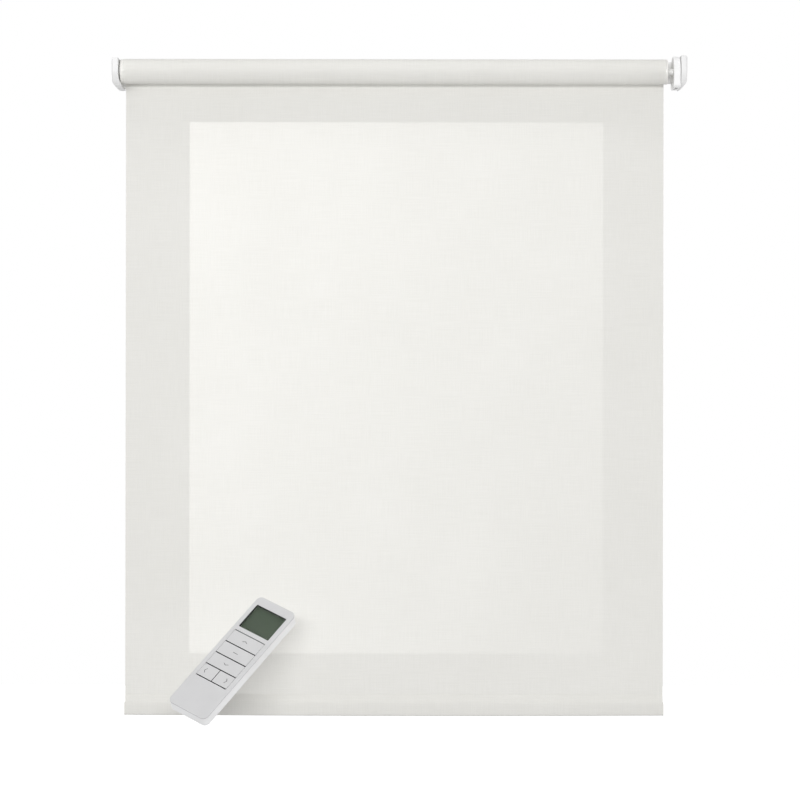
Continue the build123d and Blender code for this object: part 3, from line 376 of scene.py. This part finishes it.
finish = {
    "cover_white": moulded("cover_plastic", linear(229, 229, 229), 0.5),
    "head_white": moulded("head_plastic", linear(234, 234, 234), 0.38),
    "bracket_white": coated("bracket_coat", linear(240, 240, 239)),
    "neck_white": coated("neck_coat", linear(248, 248, 248), 0.26),
    "socket_plastic": moulded("socket_plastic", linear(236, 236, 234), 0.5),
    "plug_plastic": moulded("plug_plastic", linear(230, 229, 225), 0.6),
    "hem_plastic": moulded("hem_plastic", linear(228, 227, 222), 0.48),
    "button_plastic": moulded("button_plastic", linear(214, 214, 214), 0.4),
    "gear_plastic": moulded("gear_plastic", linear(226, 222, 206), 0.36),
    "steel": metal("plated_steel", (0.56, 0.57, 0.59, 1)),
    "spring_steel": metal("spring_steel", (0.45, 0.46, 0.49, 1), 0.26),
    "gear_steel": metal("sintered_steel", (0.42, 0.42, 0.44, 1), 0.42, (900, 900, 900)),
    "bearing_brass": metal("bearing_bronze", (0.62, 0.42, 0.18, 1), 0.36, (900, 900, 900)),
    "coin_steel": metal("cell_steel", (0.66, 0.66, 0.68, 1), 0.2, (700, 700, 700)),
    "port_metal": metal("port_shell", (0.48, 0.48, 0.50, 1)),
    "tube_aluminium": metal("tube_aluminium", (0.76, 0.76, 0.75, 1), 0.5, (25, 2200, 2200)),
    "circuit": circuit("solder_mask"),
    "cell_wrap": cell_wrap("cell_wrap"),
    "light_clear": clear("light_pipe", (0.86, 0.95, 0.88, 1), rough=0.12),
    "remote_lens": clear("display_window", (0.93, 0.95, 0.93, 1), alpha=0.18),
    "display": crystal("display_glass"),
    "membrane": rubber("keypad_rubber", linear(34, 34, 36)),
    "bezel": rubber("bezel_black", linear(18, 19, 18)),
    # The handset is one white plastic: its face gets a darker copy of the colour, as painted shade, and its
    # shell a lighter copy, as painted light on the side walls lit from the right
    "remote_white": moulded("handset_plastic_painted_shade", linear(204, 204, 205), 0.44),
    "remote_shell": moulded("handset_shell_painted_light", linear(238, 238, 239), 0.36),
    "remote_key": key_plastic("key_plastic"),
    "fabric": cloth("backed_cloth", 0.15),
}
thin_cloth = cloth("thin_cloth", 0.35)

slot_of = {s["node"]: s["material_slot"] for s in frame["record"]["subparts"]}
for name, piece in nodes.items():
    piece.data.materials.clear()
    piece.data.materials.append(finish[slot_of[name]])


def add_piece(name, points, faces, material, body):
    mesh = bpy.data.meshes.new(name)
    mesh.from_pydata(points, [], faces)
    mesh.validate()
    mesh.materials.append(material)
    mesh.shade_smooth()
    made = bpy.data.objects.new(name, mesh)
    bpy.context.scene.collection.objects.link(made)
    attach(made, body)
    return made


def grid_faces(wide, high, closed=False):
    """Quads of a grid of points in rows of wide points; closed joins each row's ends."""
    faces = []
    for row in range(high - 1):
        for k in range(wide - (0 if closed else 1)):
            nxt = (k + 1) % wide
            faces.append((row * wide + k, row * wide + nxt, (row + 1) * wide + nxt, (row + 1) * wide + k))
    return faces


def cloth_x(k, count):
    """Place across the cloth of the point numbered k in a row of count."""
    return CLOTH_LEFT + CLOTH_W * k / (count - 1)


def ripple(x, z):
    """How far the hanging cloth stands off its plane: tight at both ends, easy between."""
    depth = min(1.0, -z / EASY_FROM_END) * min(1.0, (z - HEM_TOP) / EASY_FROM_END)
    broad = noise.noise(Vector((x * 3.2, 0.0, z * 2.1 + 4.0)))
    fine = noise.noise(Vector((x * 14, 3.0, z * 5)))
    return max(depth, 0.0) * (BROAD_RIPPLE * broad + FINE_RIPPLE * fine)


def hanging_cloth():
    """The fabric between the roll's back and the weld line of the hem pocket."""
    wide, high = 121, 161
    points = []
    for row in range(high):
        z = HEM_TOP * row / (high - 1)
        for k in range(wide):
            x = cloth_x(k, wide)
            points.append((x, CLOTH_Y + ripple(x, z), z))
    made = add_piece("fabric_cloth", points, grid_faces(wide, high), thin_cloth, "headrail")
    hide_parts("fabric_panel")
    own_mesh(made)
    return made


def wrapped_cloth():
    """The fabric on the tube, from the groove to where it leaves at the back, and its length."""
    wide, high = 25, 96
    points = []
    length = 0.0
    for row in range(high):
        turn = math.tau * WRAP_TURNS * row / (high - 1)
        r = WRAP_R - CLOTH_T * turn / math.tau
        length += r * math.tau * WRAP_TURNS / (high - 1)
        for k in range(wide):
            points.append((cloth_x(k, wide), AXIS_Y + r * math.cos(turn), r * math.sin(turn)))
    made = add_piece("fabric_wrap", points, grid_faces(wide, high), finish["fabric"], "roller")
    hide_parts("fabric_roll")
    return made, length


def pocket_section():
    """Outline of the hem pocket in Y and Z: weld at the top, then down the front and up the back."""
    gap = POCKET_PLAY + CLOTH_T / 2
    half_t = (bar_high.y - bar_low.y) / 2 + gap
    half_h = (bar_high.z - bar_low.z) / 2 + gap
    weld_foot = HEM_TOP - WELD_H
    shoulder = BAR_Z + half_h - POCKET_CORNER
    # Half thicknesses of the cloth pressed thin at the weld, at heights below its top
    weld = ((0.00022, 0), (0.0003, 0.0003), (0.00028, 0.0011))
    side = [(y, HEM_TOP - down) for y, down in weld] + [(WELD_HALF_T, weld_foot)]
    steps = 5
    for k in range(1, steps + 1):
        share = k / steps
        ease = share * share * (3 - 2 * share)
        side.append((WELD_HALF_T + (half_t - WELD_HALF_T) * ease, weld_foot + (shoulder - weld_foot) * share))
    side.append((half_t, BAR_Z))
    for k in range(steps + 1):
        a = math.pi / 2 * k / steps
        y = half_t - POCKET_CORNER + POCKET_CORNER * math.cos(a)
        side.append((y, BAR_Z - half_h + POCKET_CORNER - POCKET_CORNER * math.sin(a)))
    front = [(CLOTH_Y - y, z) for y, z in side]
    back = [(CLOTH_Y + y, z) for y, z in reversed(side)]
    return front + back


def hem_cloth():
    """The hem pocket, puckered a little and lowest in its middle, and its length round the bar."""
    section = pocket_section()
    wide, high = len(section), 90
    points = []
    for row in range(high):
        x = cloth_x(row, high)
        share = row / (high - 1)
        sag = HEM_SAG * (1 - (2 * share - 1) ** 2)
        for y, z in section:
            low = min(1.0, (HEM_TOP - z) / HEM_EASE_H)
            pucker = HEM_PUCKER * noise.noise(Vector((x * 60, y * 900, z * 90)))
            points.append((x, y + pucker, z - sag * low))
    made = add_piece("hem_cloth", points, grid_faces(wide, high), finish["fabric"], "hem")
    length = sum(math.dist(a, b) for a, b in zip(section, section[1:]))
    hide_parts("hem_pocket")
    return made, length


def idler_coil():
    """The idler pin's return spring, with closed end turns."""
    low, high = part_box("idler_spring")
    wire = SPRING_WIRE_R
    radius = (high.z - low.z) / 2 - wire
    start, end = low.x + wire, high.x - wire
    turns, per_turn, sides = 10, 28, 10
    open_rise = (end - start - 4 * wire) / (turns - 2)
    points = []
    x = start
    for step in range(turns * per_turn + 1):
        turn = step / per_turn
        a = math.tau * turn
        for k in range(sides):
            b = math.tau * k / sides
            r = radius + wire * math.cos(b)
            points.append((x + wire * math.sin(b), AXIS_Y + r * math.cos(a), r * math.sin(a)))
        closed = turn < 1 or turn >= turns - 1
        x += (2 * wire if closed else open_rise) / per_turn
    faces = grid_faces(sides, turns * per_turn + 1, closed=True)
    faces.append(tuple(reversed(range(sides))))
    faces.append(tuple(range(len(points) - sides, len(points))))
    made = add_piece("idler_coil", points, faces, finish["spring_steel"], "headrail")
    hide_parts("idler_spring")
    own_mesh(made)


idler_coil()
panel = hanging_cloth()
wrap, wrap_length = wrapped_cloth()
pocket, pocket_length = hem_cloth()


def area_light(name, place, target, size, power):
    data = bpy.data.lights.new(name, "AREA")
    data.shape = "RECTANGLE"
    data.size, data.size_y = size
    data.energy = power
    made = bpy.data.objects.new(name, data)
    bpy.context.scene.collection.objects.link(made)
    made.location = place
    made.rotation_euler = (Vector(target) - made.location).to_track_quat("-Z", "Y").to_euler()
    made.visible_camera = False
    return made


def window_light():
    """Daylight from the window: a lamp close behind the cloth, brightest at its upper left."""
    lamp = area_light("window", WINDOW_CENTRE, WINDOW_CENTRE - Vector((0, 1, 0)), WINDOW_SIZE, 0.38)
    lamp.data.spread = math.radians(8)
    lamp.visible_glossy = False
    lamp.visible_transmission = False
    lamp.data.use_nodes = True
    n = Nodes(lamp.data.node_tree)
    split = n.add("ShaderNodeSeparateXYZ")
    n.link(n.add("ShaderNodeNewGeometry").outputs["Position"], split.inputs[0])
    across = n.spread(split.outputs["X"], 0.62, 0.12, -0.22, 0.21)
    down = n.spread(split.outputs["Z"], 0.05, 0.36, -0.61, -0.05)
    n.link(n.math("ADD", across, down), n.tree.nodes["Emission"].inputs["Strength"])


def floor():
    """A plain pale floor well below the blind, with a little light of its own where it is seen."""
    mesh = bpy.data.meshes.new("floor")
    mesh.from_pydata([(-9, -9, 0), (9, -9, 0), (9, 9, 0), (-9, 9, 0)], [], [(0, 1, 2, 3)])
    made = bpy.data.objects.new("floor", mesh)
    made.location = (0, 0, FLOOR_Z)
    bpy.context.scene.collection.objects.link(made)
    s = Shader("floor_paint")
    s.give("Base Color", (FLOOR_TONE, FLOOR_TONE, FLOOR_TONE, 1))
    s.give("Roughness", 0.9)
    s.give("Emission Color", (1, 1, 1, 1))
    path = s.add("ShaderNodeLightPath")
    seen = s.math("MAXIMUM", path.outputs["Is Camera Ray"], path.outputs["Is Glossy Ray"])
    s.give("Emission Strength", s.math("MULTIPLY", seen, FLOOR_LIFT))
    mesh.materials.append(s.mat)


def world():
    """Plain white to camera, glossy and transmission rays, and a soft, even light to all others."""
    made = bpy.data.worlds.new("studio")
    bpy.context.scene.world = made
    made.use_nodes = True
    n = Nodes(made.node_tree)
    plain = n.tree.nodes["Background"]
    plain.inputs["Color"].default_value = (1, 1, 1, 1)
    plain.inputs["Strength"].default_value = WORLD_STRENGTH
    path = n.add("ShaderNodeLightPath")
    seen = path.outputs["Is Camera Ray"]
    for other in ("Is Glossy Ray", "Is Transmission Ray"):
        seen = n.math("MAXIMUM", seen, path.outputs[other])
    white = n.add("ShaderNodeBackground")
    white.inputs["Strength"].default_value = 1.0
    white.inputs["Color"].default_value = (1, 1, 1, 1)
    n.join(seen, plain, white, n.tree.nodes["World Output"])


def camera():
    """Level with the middle of the cloth and far off, so the roll is seen from a little below."""
    data = bpy.data.cameras.new("camera")
    data.lens = 109.9
    data.sensor_width = 36
    made = bpy.data.objects.new("camera", data)
    bpy.context.scene.collection.objects.link(made)
    pitch, yaw, roll = math.radians(0.010), math.radians(0.124), math.radians(-0.083)
    turn = Matrix.Rotation(yaw, 3, "Z") @ Matrix.Rotation(pitch, 3, "X") @ Matrix.Rotation(roll, 3, "Y")
    right, forward, up = (turn @ Vector(v) for v in ((1, 0, 0), (0, 1, 0), (0, 0, 1)))
    pose = Matrix((right, up, -forward)).transposed().to_4x4()
    made.matrix_world = Matrix.Translation((0.0065, -2.588, -0.345)) @ pose
    bpy.context.scene.camera = made


floor()
world()
camera()
window_light()
area_light("key", (-0.40, -2.62, 0.20), (-0.05, 0.0, -0.30), (2.0, 0.35), 39)
top = area_light("top", (0.0, -0.45, 1.25), (0.0, 0.0, 0.0), (1.3, 0.5), 6)
top.visible_glossy = False
area_light("side", (2.0, -0.20, -0.72), (0.0, -0.05, -0.50), (0.5, 1.0), 8.5)
bpy.context.scene.view_settings.view_transform = "Standard"
